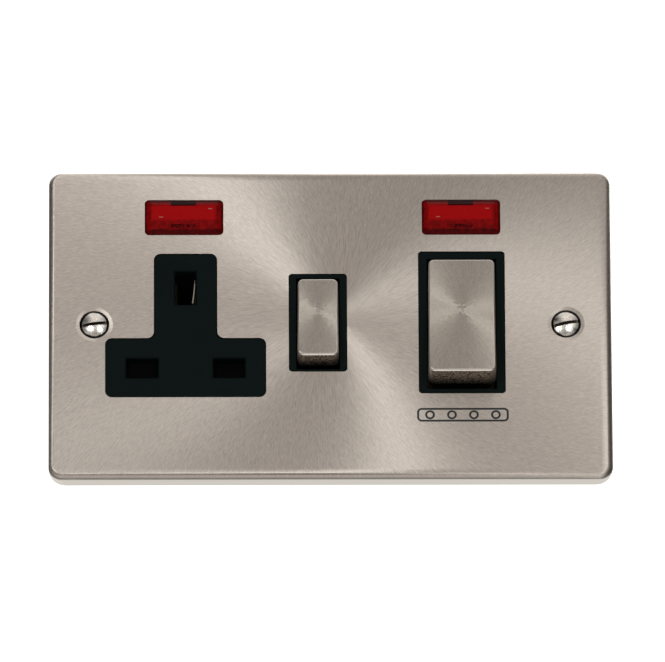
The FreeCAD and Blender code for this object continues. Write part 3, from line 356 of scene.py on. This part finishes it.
def printed_mark(surface, x, z, place):
    """A generic hob in ink: four rings side by side in a rounded outline."""
    across = surface.minus(x, place.x)
    up = surface.minus(z, place.z)
    beyond = [surface.minus(surface.maths("ABSOLUTE", value), half - MARK_CORNER)
              for value, half in ((across, MARK_HALF), (up, MARK_HIGH))]
    outside = [surface.maths("MAXIMUM", over, 0.0) for over in beyond]
    inside = surface.maths("MINIMUM", surface.maths("MAXIMUM", *beyond), 0.0)
    edge = surface.plus(surface.length(*outside), inside)
    outline = surface.within(edge, MARK_CORNER - MARK_LINE * 2, MARK_CORNER, INK_SOFT)
    from_ring = surface.minus(surface.maths("WRAP", across, RING_APART, 0.0), RING_APART / 2)
    reach = surface.length(from_ring, up)
    ring = surface.within(reach, RING_RADIUS - MARK_LINE, RING_RADIUS + MARK_LINE, INK_SOFT)
    kept = surface.eased(edge, MARK_CORNER, MARK_CORNER - 0.0001)
    return surface.maths("MAXIMUM", outline, surface.times(ring, kept))


def plate_finish(surface, colour, roughness):
    """A ring of painted shade round each countersunk screw, plain side walls in a colour of painted sheen,
    the printed mark and rolled edges.
    """
    x, _, z = surface.split(surface.point())
    for place in (LEFT_SCREW, RIGHT_SCREW):
        # Painted shade round each screw head
        ring = surface.within(surface.distance(x, z, place), SHADE_RING_INNER, SHADE_RING_OUTER, SHADE_RING_SOFT)
        colour = surface.blended(ring, colour, SHADE_RING_COLOUR)
    # Painted sheen: the side walls take a plain, more neutral colour
    colour = surface.blended(forward_part(surface), WALL_SHEEN_COLOUR, colour)
    inked = printed_mark(surface, x, z, MARK_PLACE)
    surface.give("Metallic", surface.spread(inked, 1.0, 0.0))
    return surface.blended(inked, colour, INK_COLOUR), roughness, rolled_edges(surface, x, z)


# The caps' own finish

# Painted shade on the faces of a cap that look down, over a mottled grain
LOWER_FROM, LOWER_TO = 0.72, 0.95
MOTTLED_SCALE, MOTTLED_SHADE_DARK, MOTTLED_SHADE_LIGHT = 2100.0, (0.10, 0.084, 0.066), (0.62, 0.54, 0.45)
# The lighter colour of a cap's soft edges is a painted highlight; their lower roughness is wear
RUBBED_HIGHLIGHT_FROM, RUBBED_HIGHLIGHT_TO, RUBBED_HIGHLIGHT_SOFT = 0.35, 0.95, 0.04
EDGE_HIGHLIGHT_COLOUR, RUBBED_ROUGHNESS = (0.80, 0.74, 0.67), 0.32


def cap_finish(surface, colour, roughness):
    """A cap's soft edges are worn smoother and painted lighter as a highlight, and its lower end has painted
    shade over a mottled grain.
    """
    _, face_y, face_z = surface.facing()
    # Painted highlight on the soft edges, which are also smoother from wear
    rubbed_and_highlit = surface.within(surface.times(face_y, -1.0), RUBBED_HIGHLIGHT_FROM, RUBBED_HIGHLIGHT_TO, RUBBED_HIGHLIGHT_SOFT)
    down = surface.eased(surface.times(face_z, -1.0), LOWER_FROM, LOWER_TO)
    mottling = surface.noise(surface.point(), MOTTLED_SCALE, 3.0, 0.7)
    # Painted shade: the downward faces darken, mottled by the grain
    mottled_shade = surface.ramp(mottling, MOTTLED_SHADE_DARK, MOTTLED_SHADE_LIGHT, 0.40, 0.62)
    colour = surface.blended(down, colour, mottled_shade)
    smooth = surface.nodes.new("ShaderNodeMix")
    surface.link(rubbed_and_highlit, smooth.inputs["Factor"])
    surface.link(roughness, smooth.inputs[2])
    smooth.inputs[3].default_value = RUBBED_ROUGHNESS
    surface.give("Metallic", 1.0)
    return surface.blended(rubbed_and_highlit, colour, EDGE_HIGHLIGHT_COLOUR), smooth.outputs[0], None


# Plastic, plain metal and glass

def moulded(name, dark, light, rough, specular=0.4):
    """Moulded plastic with a fine grain and slow changes of tone."""
    surface = Surface(name)
    tone = surface.noise(surface.point(), 90.0, 3.0)
    grain = surface.noise(surface.point(), 2600.0, 3.0, 0.6)
    surface.give("Base Color", surface.ramp(tone, dark, light, 0.3, 0.7))
    surface.give("Roughness", surface.spread(grain, rough - 0.05, rough + 0.07))
    surface.give("Normal", surface.bump(grain, 0.12, 0.00003))
    surface.give("Specular IOR Level", specular)
    return surface.material


def plain_metal(name, dark, light, rough, scale=900.0):
    """Bare or plated metal with fine rolling marks."""
    surface = Surface(name)
    x, y, z = surface.split(surface.point())
    marks = surface.noise(surface.join(surface.times(x, 0.12), y, z), scale, 3.0, 0.6)
    stain = surface.noise(surface.point(), 140.0, 3.0)
    surface.give("Base Color", surface.ramp(stain, dark, light, 0.35, 0.65))
    surface.give("Roughness", surface.spread(marks, rough - 0.07, rough + 0.1))
    surface.give("Normal", surface.bump(marks, 0.08, 0.00004))
    surface.give("Metallic", 1.0)
    return surface.material


def clear_glass(name):
    """The slightly hazy glass of a neon tube."""
    surface = Surface(name)
    haze = surface.noise(surface.point(), 500.0)
    surface.give("Base Color", surface.ramp(haze, (0.80, 0.74, 0.68), (0.95, 0.90, 0.84)))
    surface.give("Roughness", surface.spread(haze, 0.03, 0.09))
    surface.give("Transmission Weight", 0.85)
    return surface.material


# The fixing screws

HEAD_RISE = 0.0009
HEAD_TOP = PLATE_LOW.y + 0.0003 - HEAD_RISE
SLOT_DARK_FROM, SLOT_DARK_TO, SLOT_DEEPEST = 0.00020, 0.00065, 0.0014
RIM_DARK_FROM, RIM_DARK_TO, RIM_UNEVEN = 0.00340, 0.00368, 0.0007
# Painted shade down in the slot and in the gap round the head's rim
SLOT_SHADE_COLOUR, RIM_SHADE_COLOUR = (0.075, 0.062, 0.050), (0.022, 0.019, 0.016)
THREAD_START, THREAD_EASE, THREAD_PITCH = 0.0012, 0.001, 0.0006


def screw_thread(surface, across, up, y):
    """The waves of a thread that winds round the shank, from just behind the head."""
    bearing = surface.maths("ARCTAN2", up, across)
    turns = surface.plus(surface.times(y, 2 * math.pi / THREAD_PITCH), bearing)
    return surface.times(surface.maths("SINE", turns),
                         surface.eased(y, THREAD_START, THREAD_START + THREAD_EASE))


def screw_metal(name):
    """Polished plate on a raised screw head, with painted shade at its rim and down in its slot."""
    surface = Surface(name)
    x, y, z = surface.split(surface.point())
    mirrored = surface.maths("ABSOLUTE", x)
    across = surface.minus(mirrored, RIGHT_SCREW.x)
    up = surface.minus(z, RIGHT_SCREW.z)
    reach = surface.length(across, up)
    domed = surface.times(surface.times(reach, reach), HEAD_RISE / HEAD_RADIUS ** 2)
    depth = surface.minus(surface.minus(y, HEAD_TOP), domed)
    in_slot = surface.times(surface.eased(depth, SLOT_DARK_FROM, SLOT_DARK_TO),
                            surface.eased(depth, SLOT_DEEPEST + 0.0002, SLOT_DEEPEST))
    uneven = surface.times(surface.noise(surface.point(), 420.0, 1.0), RIM_UNEVEN)
    at_rim = surface.eased(surface.plus(reach, uneven), RIM_DARK_FROM, RIM_DARK_TO)
    marks = surface.noise(surface.point(), 1500.0, 3.0, 0.6)
    bright = surface.ramp(marks, (0.66, 0.60, 0.53), (0.88, 0.82, 0.74), 0.35, 0.65)
    # Painted shade in the slot, then at the rim
    colour = surface.blended(in_slot, bright, SLOT_SHADE_COLOUR)
    surface.give("Base Color", surface.blended(at_rim, colour, RIM_SHADE_COLOUR))
    surface.give("Roughness", surface.spread(marks, 0.18, 0.30))
    thread = surface.times(screw_thread(surface, across, up, y), 2.0)
    surface.give("Normal", surface.bump(surface.plus(thread, marks), 0.6, 0.00004))
    surface.give("Metallic", 1.0)
    return surface.material


# The lenses: where painted light, shade, shadows and glints show in each, as limits across and up from its
# middle

LIT_ACROSS, LIT_UP = (-0.0083, 0.0080), (-0.0010, 0.0030)
DEEP_ACROSS, DEEP_UP = (-0.0096, 0.0095), (-0.0035, 0.0039)
CLIP_ACROSS, CLIP_UP, CLIP_SOFT = (-0.0034, 0.0031), (-0.0032, -0.0022), 0.0001
# The clips behind each lens are painted as shadows
CLIP_TOP_FROM, CLIP_TOP_TO, CLIP_SHADOW_COLOUR = 0.0028, 0.0031, (0.020, 0.0006, 0.0009)
# Two short painted glints on moulding seams
SEAM_GLINT_PLACES, SEAM_GLINT_WIDE, SEAM_GLINT_HIGH = ((-0.0064, -0.0003), (0.0062, 0.0020)), 0.0010, 0.00018
SEAM_GLINT_SOFT, SEAM_GLINT_COLOUR = 0.00005, (0.30, 0.19, 0.17)


def lens_glow(surface, cloud, speckle, across, up):
    """Painted light and shade in the red: bright over the lamp, middling over the tray and dark in the
    bevels.
    """
    wander = surface.times(surface.minus(cloud, 0.5), 0.0007)
    up = surface.plus(up, wander)
    across = surface.plus(across, wander)
    lit = surface.patch(across, up, LIT_ACROSS, LIT_UP, 0.0004, 0.0005)
    deep = surface.patch(across, up, DEEP_ACROSS, DEEP_UP, 0.0002, 0.0003)
    # Painted shade in the bevels and painted light over the tray and the lamp
    rim = surface.ramp(cloud, (0.048, 0.0008, 0.0010), (0.095, 0.0014, 0.0018), 0.35, 0.65)
    middling = surface.ramp(cloud, (0.15, 0.0024, 0.0028), (0.26, 0.0036, 0.0042), 0.35, 0.65)
    bright = surface.ramp(speckle, (0.34, 0.0030, 0.0040), (0.42, 0.0040, 0.0052), 0.3, 0.7)
    return surface.blended(lit, surface.blended(deep, rim, middling), bright)


def lens_clips(surface, speckle, across, up):
    """1 over the clip above the middle of the lens and over the dotted one below it, where painted shadow
    goes.
    """
    dots = surface.eased(speckle, 0.46, 0.50)
    above = surface.eased(up, CLIP_TOP_FROM, CLIP_TOP_TO)
    below = surface.times(surface.within(up, *CLIP_UP, CLIP_SOFT), dots)
    beside = surface.within(across, *CLIP_ACROSS, CLIP_SOFT)
    return surface.times(beside, surface.maths("MAXIMUM", above, below))


def red_lens(name, node):
    """Clear red plastic over a lamp, with painted light and shade, the painted shadows of its clips and two
    short painted glints on seams.
    """
    surface = Surface(name)
    centre = middle(node)
    x, _, z = surface.split(surface.point())
    across = surface.minus(x, centre.x)
    up = surface.minus(z, centre.z)
    cloud = surface.noise(surface.point(), 900.0, 3.0, 0.6)
    speckle = surface.noise(surface.point(), 3800.0, 1.0)
    colour = lens_glow(surface, cloud, speckle, across, up)
    # Painted shadows of the clips
    colour = surface.blended(lens_clips(surface, speckle, across, up), colour, CLIP_SHADOW_COLOUR)
    # Painted glints on the seams
    for left, low in SEAM_GLINT_PLACES:
        seam_glint = surface.patch(across, up, (left, left + SEAM_GLINT_WIDE), (low, low + SEAM_GLINT_HIGH),
                             SEAM_GLINT_SOFT, SEAM_GLINT_SOFT)
        colour = surface.blended(seam_glint, colour, SEAM_GLINT_COLOUR)
    surface.give("Base Color", colour)
    surface.give("Roughness", surface.spread(cloud, 0.16, 0.30))
    surface.give("Normal", surface.bump(cloud, 0.05, 0.0001))
    surface.give("Specular IOR Level", 0.04)
    return surface.material


# Which node has which material

PLATE_BRUSH_CENTRE = Vector((0.0003, 0, 0.0014))
CAP_CENTRE_RISE = Vector((0, 0, 0.0020))

MATERIALS = {
    "plate_metal": swirled_metal("plate_metal", PLATE_BRUSH_CENTRE, twist=5.2, dark=(0.46, 0.405, 0.355),
                                 light=(0.74, 0.650, 0.571), rough=0.47, directed=0.9, wander=0.007,
                                 share=0.72, finish=plate_finish),
    "black_moulding": moulded("black_moulding", (0.0016, 0.0052, 0.0046), (0.0026, 0.0068, 0.0060),
                              0.5, 0.055),
    "inner_black": moulded("inner_black", (0.0008, 0.0009, 0.0008), (0.0018, 0.0018, 0.0016), 0.55, 0.02),
    "bright_screw": screw_metal("bright_screw"),
    "zinc_steel": plain_metal("zinc_steel", (0.50, 0.51, 0.50), (0.64, 0.64, 0.60), 0.34),
    "brass_sheet": plain_metal("brass_sheet", (0.58, 0.40, 0.15), (0.72, 0.53, 0.24), 0.33),
    "brass_block": plain_metal("brass_block", (0.60, 0.43, 0.17), (0.75, 0.57, 0.28), 0.27, 1600.0),
    "spring_steel": plain_metal("spring_steel", (0.42, 0.42, 0.42), (0.58, 0.57, 0.55), 0.3),
    "lamp_glass": clear_glass("lamp_glass"),
    "resistor_coat": moulded("resistor_coat", (0.42, 0.30, 0.16), (0.55, 0.42, 0.25), 0.4),
}
DARK_COPPER = plain_metal("dark_copper", (0.030, 0.020, 0.012), (0.060, 0.042, 0.026), 0.5)
DULL_BRASS = plain_metal("dull_brass", (0.16, 0.105, 0.045), (0.24, 0.165, 0.080), 0.5)
# A pale lip that is a painted glint on the earth contact
GLINT_LIP = moulded("glint_lip", (0.55, 0.50, 0.42), (0.80, 0.74, 0.64), 0.45, 0.6)

OWN_MATERIALS = {node: DARK_COPPER for node in ("socket_bar", "line_bar", "neutral_bar")}
OWN_MATERIALS["earth_contact"] = DULL_BRASS
for node in ("socket_rocker_cap", "cooker_rocker_cap"):
    OWN_MATERIALS[node] = swirled_metal(node + "_metal", middle(node) + CAP_CENTRE_RISE, twist=12.0,
                                        dark=(0.42, 0.374, 0.322), light=(0.70, 0.625, 0.535), rough=0.55,
                                        directed=0.82, wander=0.006, share=0.5, finish=cap_finish)
for node in ("socket_lens", "cooker_lens"):
    OWN_MATERIALS[node] = red_lens(node + "_red", node)


def finish_cad_nodes():
    """Give every node of the model its own material, or else the one of its slot."""
    slots = {item["node"]: item["material_slot"] for item in frame["record"]["subparts"]}
    for name, thing in frame["nodes"].items():
        thing.data.materials.clear()
        thing.data.materials.append(OWN_MATERIALS.get(name) or MATERIALS[slots[name]])


# Pieces that the model leaves to the scene

LIP_FRONT = PLATE_LOW.y + 0.0034
LIP_TOP = Vector((EARTH_CONTACT.x + 0.00240, LIP_FRONT, EARTH_CONTACT.z + 0.00354))
LIP_FOOT = Vector((EARTH_CONTACT.x + 0.00179, LIP_FRONT, EARTH_CONTACT.z - 0.00301))
LIP_HALF, LIP_DEEP, LIP_BOW, LIP_EASE, LIP_STEPS = 0.00013, 0.0007, 0.00008, 0.00006, 12
LIP_LEAST = 0.35
WIRE_SIDES, STEPS_A_TURN = 8, 20
PLUNGER_TURNS, SHUTTER_TURNS = 8, 7


def piece(name, vertices, faces, material, body):
    """A mesh piece that rides on one body of the model."""
    mesh = bpy.data.meshes.new(name)
    mesh.from_pydata(vertices, [], faces)
    mesh.update()
    thing = bpy.data.objects.new(name, mesh)
    bpy.context.collection.objects.link(thing)
    thing.data.materials.append(material)
    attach(thing, body)
    return thing


def tube_faces(rings, sides):
    """The faces between the rings of points of a tube, and over its two ends."""
    faces = [tuple(range(sides - 1, -1, -1)), tuple(range((rings - 1) * sides, rings * sides))]
    for i in range(rings - 1):
        for k in range(sides):
            here, after = i * sides + k, i * sides + (k + 1) % sides
            faces.append((here, after, after + sides, here + sides))
    return faces


def make_contact_lip():
    """The flared lip of one earth contact leaf, seen edge on in its aperture, pale as a painted glint."""
    rows = []
    for i in range(LIP_STEPS + 1):
        share = i / LIP_STEPS
        centre = LIP_TOP.lerp(LIP_FOOT, share)
        thick = LIP_HALF * (LIP_LEAST + (1 - LIP_LEAST) * min(1.0, 3.0 * share))
        bow = LIP_BOW * math.sin(math.pi * share)
        rows += [
            centre + Vector((bow - thick, LIP_DEEP, 0)), centre + Vector((bow + thick, LIP_DEEP, 0)),
            centre + Vector((bow + thick, LIP_EASE, 0)), centre + Vector((bow, 0, 0)),
            centre + Vector((bow - thick, LIP_EASE, 0)),
        ]
    rings = LIP_STEPS + 1
    piece("earth_contact_lip", rows, tube_faces(rings, len(rows) // rings), GLINT_LIP, "unit")


def sleeve_shape(node):
    """Two end points, and the outer and inner radius, of a node that is a plain sleeve."""
    points = np.array([v.co for v in frame["nodes"][node].data.vertices])
    centre = (points.max(axis=0) + points.min(axis=0)) / 2
    shifted = points - centre
    axis = np.linalg.svd(shifted, full_matrices=False)[2][0]
    if axis[1] + axis[2] < 0:
        axis = -axis
    along = shifted @ axis
    apart = np.linalg.norm(shifted - np.outer(along, axis), axis=1)
    return Vector(centre + axis * along.min()), Vector(centre + axis * along.max()), apart.max(), apart.min()


def coil_rows(start, end, outer, inner, turns):
    """Rings of points round a wire that winds from one end to the other, its end turns closed."""
    wire = (outer - inner) / 2
    coil_radius = (outer + inner) / 2
    axis = (end - start).normalized()
    across = axis.cross(Vector((1, 0, 0)) if abs(axis.x) < 0.9 else Vector((0, 0, 1))).normalized()
    beside = axis.cross(across)
    long = (end - start).length - 2 * wire
    rows = []
    for i in range(turns * STEPS_A_TURN + 1):
        turn = i / STEPS_A_TURN
        closed = min(turn, 1.0) + max(0.0, turn - (turns - 1))
        open_turns = turn - closed
        height = wire + closed * 2 * wire + open_turns * (long - 4 * wire) / (turns - 2)
        angle = 2 * math.pi * turn
        out = across * math.cos(angle) + beside * math.sin(angle)
        centre = start + axis * height + out * coil_radius
        for k in range(WIRE_SIDES):
            way = 2 * math.pi * k / WIRE_SIDES
            rows.append(centre + out * wire * math.cos(way) + axis * wire * math.sin(way))
    return rows


def make_coil(node, turns):
    """A wound spring in place of a node's sleeve, which shortens as its joint moves."""
    start, end, outer, inner = sleeve_shape(node)
    rows = coil_rows(start, end, outer, inner, turns)
    faces = tube_faces(len(rows) // WIRE_SIDES, WIRE_SIDES)
    coil = piece(node + "_coil", rows, faces, MATERIALS["spring_steel"], body_of(frame["nodes"][node])[0])
    for face in coil.data.polygons:
        face.use_smooth = True
    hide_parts(node)
    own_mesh(coil)


def make_springs():
    """The three plungers' springs and the shutter's."""
    for name in ("socket", "line", "neutral"):
        make_coil(name + "_plunger_spring", PLUNGER_TURNS)
    make_coil("shutter_spring", SHUTTER_TURNS)


# Stage

SURROUND_RADIUS, SURROUND_STRENGTH = 14.0, 1.3
FLOOR_RADIUS, FLOOR_HEIGHT = 9.0, -6.0


def white_glow():
    """A plain white material that gives light of its own."""
    white = bpy.data.materials.new("stage_white")
    white.use_nodes = True
    nodes = white.node_tree.nodes
    nodes.clear()
    glow = nodes.new("ShaderNodeEmission")
    glow.inputs["Color"].default_value = (1, 1, 1, 1)
    glow.inputs["Strength"].default_value = SURROUND_STRENGTH
    out = nodes.new("ShaderNodeOutputMaterial")
    white.node_tree.links.new(glow.outputs[0], out.inputs[0])
    return white


def make_stage():
    """A plain white floor far below, and a white surround, both of which only the camera sees."""
    white = white_glow()
    bpy.ops.mesh.primitive_ico_sphere_add(subdivisions=3, radius=SURROUND_RADIUS, location=(0, 0, 0))
    surround = bpy.context.object
    surround.name = "surround"
    bpy.ops.mesh.primitive_circle_add(vertices=64, radius=FLOOR_RADIUS, fill_type="NGON",
                                      location=(0, 0, FLOOR_HEIGHT))
    floor = bpy.context.object
    floor.name = "floor"
    for thing in (surround, floor):
        thing.data.materials.append(white)
        thing.visible_diffuse = False
        thing.visible_glossy = False
        thing.visible_transmission = False
        thing.visible_shadow = False


# The studio's patches of light: direction, width and soft rim in degrees, and strength
GLOWS = (
    ((0.0, 1.0, -0.15), 18, 22, 0.95),
    ((0.0, 0.58, 0.81), 30, 18, 1.50),
    ((0.0, -0.45, 0.90), 12, 27, 0.54),
    ((0.0, -0.35, -0.93), 20, 26, 0.72),
    ((0.46, -0.82, 0.30), 8, 11, 0.72),
    ((-0.15, -0.92, 0.35), 24, 20, 0.14),
    ((-0.42, -0.58, 0.70), 8, 12, -0.50),
    ((0.50, -0.86, 0.02), 5, 9, -0.45),
)
SKY_SCALE, SKY_LOW, SKY_HIGH, SKY_COLOUR = 2.3, 0.12, 0.52, (1.0, 0.986, 0.980, 1)
SIDES_FROM, SIDES_TO, SIDES_KEPT = 0.50, 0.86, 0.16
OVERHEAD_FROM, OVERHEAD_TO = 0.50, 0.75


def soft_patch(studio, direction, towards, wide, soft, strength):
    """A soft round patch of light in the surround, or of shade where its strength is negative."""
    aligned = studio.nodes.new("ShaderNodeVectorMath")
    aligned.operation = "DOT_PRODUCT"
    studio.link(direction, aligned.inputs[0])
    aligned.inputs[1].default_value = Vector(towards).normalized()
    inner, outer = math.cos(math.radians(wide)), math.cos(math.radians(wide + soft))
    return studio.times(studio.eased(aligned.outputs["Value"], outer, inner), strength)


def make_world():
    """A studio of soft patches of light, darker at the object's sides but not overhead."""
    world = bpy.data.worlds.new("studio")
    bpy.context.scene.world = world
    world.use_nodes = True
    studio = Shading(world.node_tree)
    direction = studio.nodes.new("ShaderNodeTexCoord").outputs["Generated"]
    x, _, z = studio.split(direction)
    light = studio.spread(studio.noise(direction, SKY_SCALE, 1.0), SKY_LOW, SKY_HIGH)
    for towards, wide, soft, strength in GLOWS:
        light = studio.plus(light, soft_patch(studio, direction, towards, wide, soft, strength))
    not_overhead = studio.minus(1.0, studio.eased(z, OVERHEAD_FROM, OVERHEAD_TO))
    beside = studio.times(studio.eased(studio.maths("ABSOLUTE", x), SIDES_FROM, SIDES_TO), not_overhead)
    background = studio.nodes["Background"]
    studio.link(studio.times(light, studio.spread(beside, 1.0, SIDES_KEPT)), background.inputs["Strength"])
    background.inputs["Color"].default_value = SKY_COLOUR


# The area lights, each with its place, its size and its power in watts
LIGHTS = {
    "left": ((-0.185, -0.465, 0.020), 0.09, 0.45),
    "right": ((0.20, -0.60, 0.0), 0.16, 0.48),
    "rear": ((0.6, 1.6, 1.0), 1.0, 14.0),
}
LIGHT_COLOUR = (0.94, 0.985, 1.0)


def make_lights():
    """Square area lights that face the object and aren't seen."""
    for name, (place, size, power) in LIGHTS.items():
        data = bpy.data.lights.new(name, "AREA")
        data.energy = power
        data.size = size
        data.color = LIGHT_COLOUR
        thing = bpy.data.objects.new(name, data)
        bpy.context.collection.objects.link(thing)
        thing.location = place
        thing.rotation_euler = (Vector((0, 0, 0)) - Vector(place)).to_track_quat("-Z", "Y").to_euler()
        thing.visible_camera = False


# Camera, from the photograph

AZIMUTH, ELEVATION, ROLL = math.radians(-0.48), math.radians(-23.02), math.radians(-0.29)
DISTANCE = 4.5
PIXELS_PER_METRE = 3907.3
FRAME_WIDTH, FRAME_HEIGHT = 665, 662
ORIGIN_PIXEL = (330.1, 331.7)
SENSOR_WIDTH = 36.0


def make_camera():
    """The camera that sees the object as the photograph does."""
    back = Vector((math.sin(AZIMUTH) * math.cos(ELEVATION), -math.cos(AZIMUTH) * math.cos(ELEVATION),
                   math.sin(ELEVATION)))
    level = Vector((math.cos(AZIMUTH), math.sin(AZIMUTH), 0))
    upright = back.cross(level)
    right = level * math.cos(ROLL) + upright * math.sin(ROLL)
    up = upright * math.cos(ROLL) - level * math.sin(ROLL)
    aside = right * (FRAME_WIDTH / 2 - ORIGIN_PIXEL[0]) + up * (ORIGIN_PIXEL[1] - FRAME_HEIGHT / 2)
    data = bpy.data.cameras.new("camera")
    data.sensor_width = SENSOR_WIDTH
    data.lens = SENSOR_WIDTH * DISTANCE * PIXELS_PER_METRE / FRAME_WIDTH
    data.clip_start = 0.1
    data.clip_end = 60.0
    thing = bpy.data.objects.new("camera", data)
    bpy.context.collection.objects.link(thing)
    turned = Matrix((right, up, back)).transposed().to_4x4()
    thing.matrix_world = Matrix.Translation(aside / PIXELS_PER_METRE + back * DISTANCE) @ turned
    bpy.context.scene.camera = thing


finish_cad_nodes()
make_contact_lip()
make_springs()
make_stage()
make_world()
make_lights()
make_camera()
bpy.context.scene.view_settings.view_transform = "Standard"
